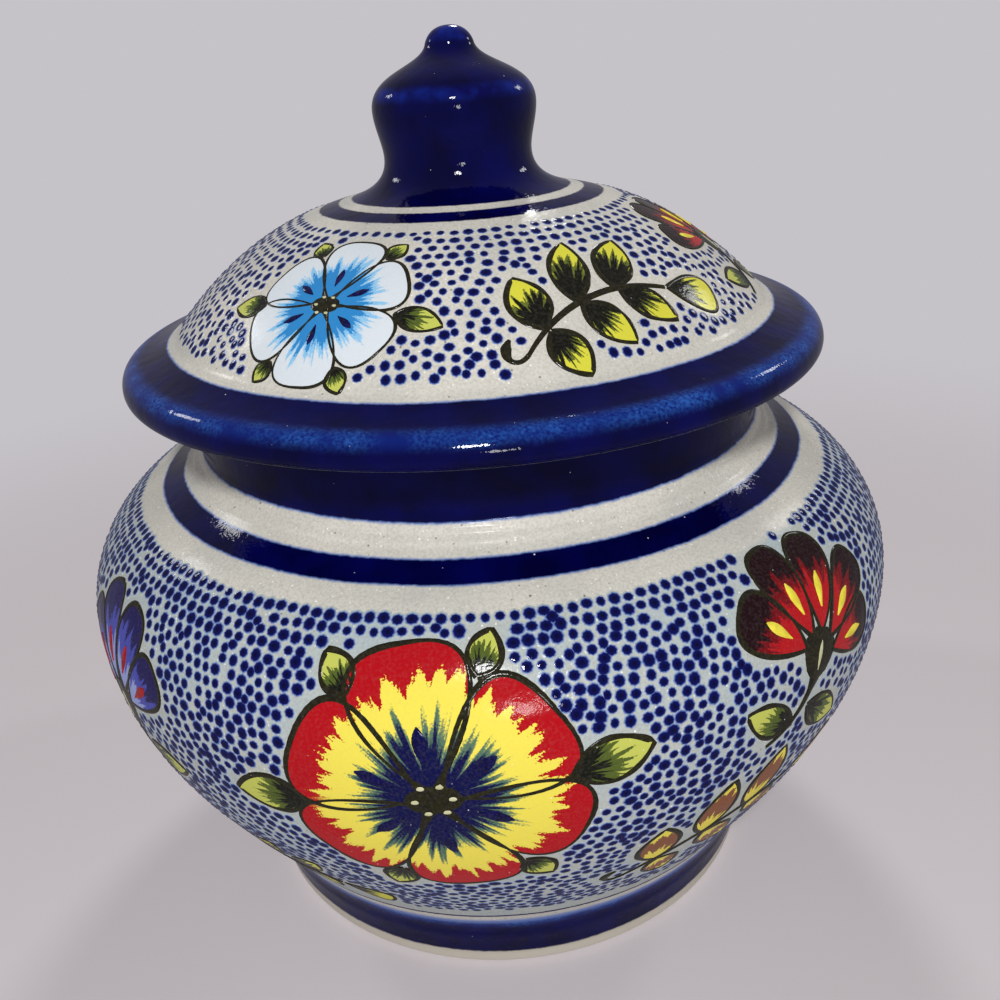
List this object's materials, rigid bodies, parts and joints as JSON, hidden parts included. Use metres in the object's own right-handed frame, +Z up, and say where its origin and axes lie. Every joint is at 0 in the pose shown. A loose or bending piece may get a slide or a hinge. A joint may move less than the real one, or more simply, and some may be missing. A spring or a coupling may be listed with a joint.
{
  "type": "lidded ceramic jar",
  "caption": "Squat round-bellied jar on a turned foot ring, with an upright collar and a loose domed lid that has a wide flange, a locating ring and a solid knob.",
  "frame": {"origin": "middle of the foot ring's standing face, on the axis of the wheel", "axes": "+Z up along the axis of turning, through the middle of the knob; -Y towards the side the picture shows"},
  "size_m": [0.1194, 0.1194, 0.1238],
  "materials": {
    "body_glaze": "gloss clear glaze over speckled cream stoneware, painted with cobalt bands, dots and coloured flowers",
    "lid_glaze": "gloss cobalt glaze on the knob and flange, cream stoneware with cobalt dots and coloured flowers on the dome"
  },
  "bodies": {
    "jar": {"jar_body": "body_glaze"},
    "lid": {"lid": "lid_glaze"}
  },
  "joints": [
    {"name": "lid_lift", "type": "slide", "parent": "jar", "child": "lid", "axis": [0, 0, 1], "range_m": [0, 0.12]}
  ]
}
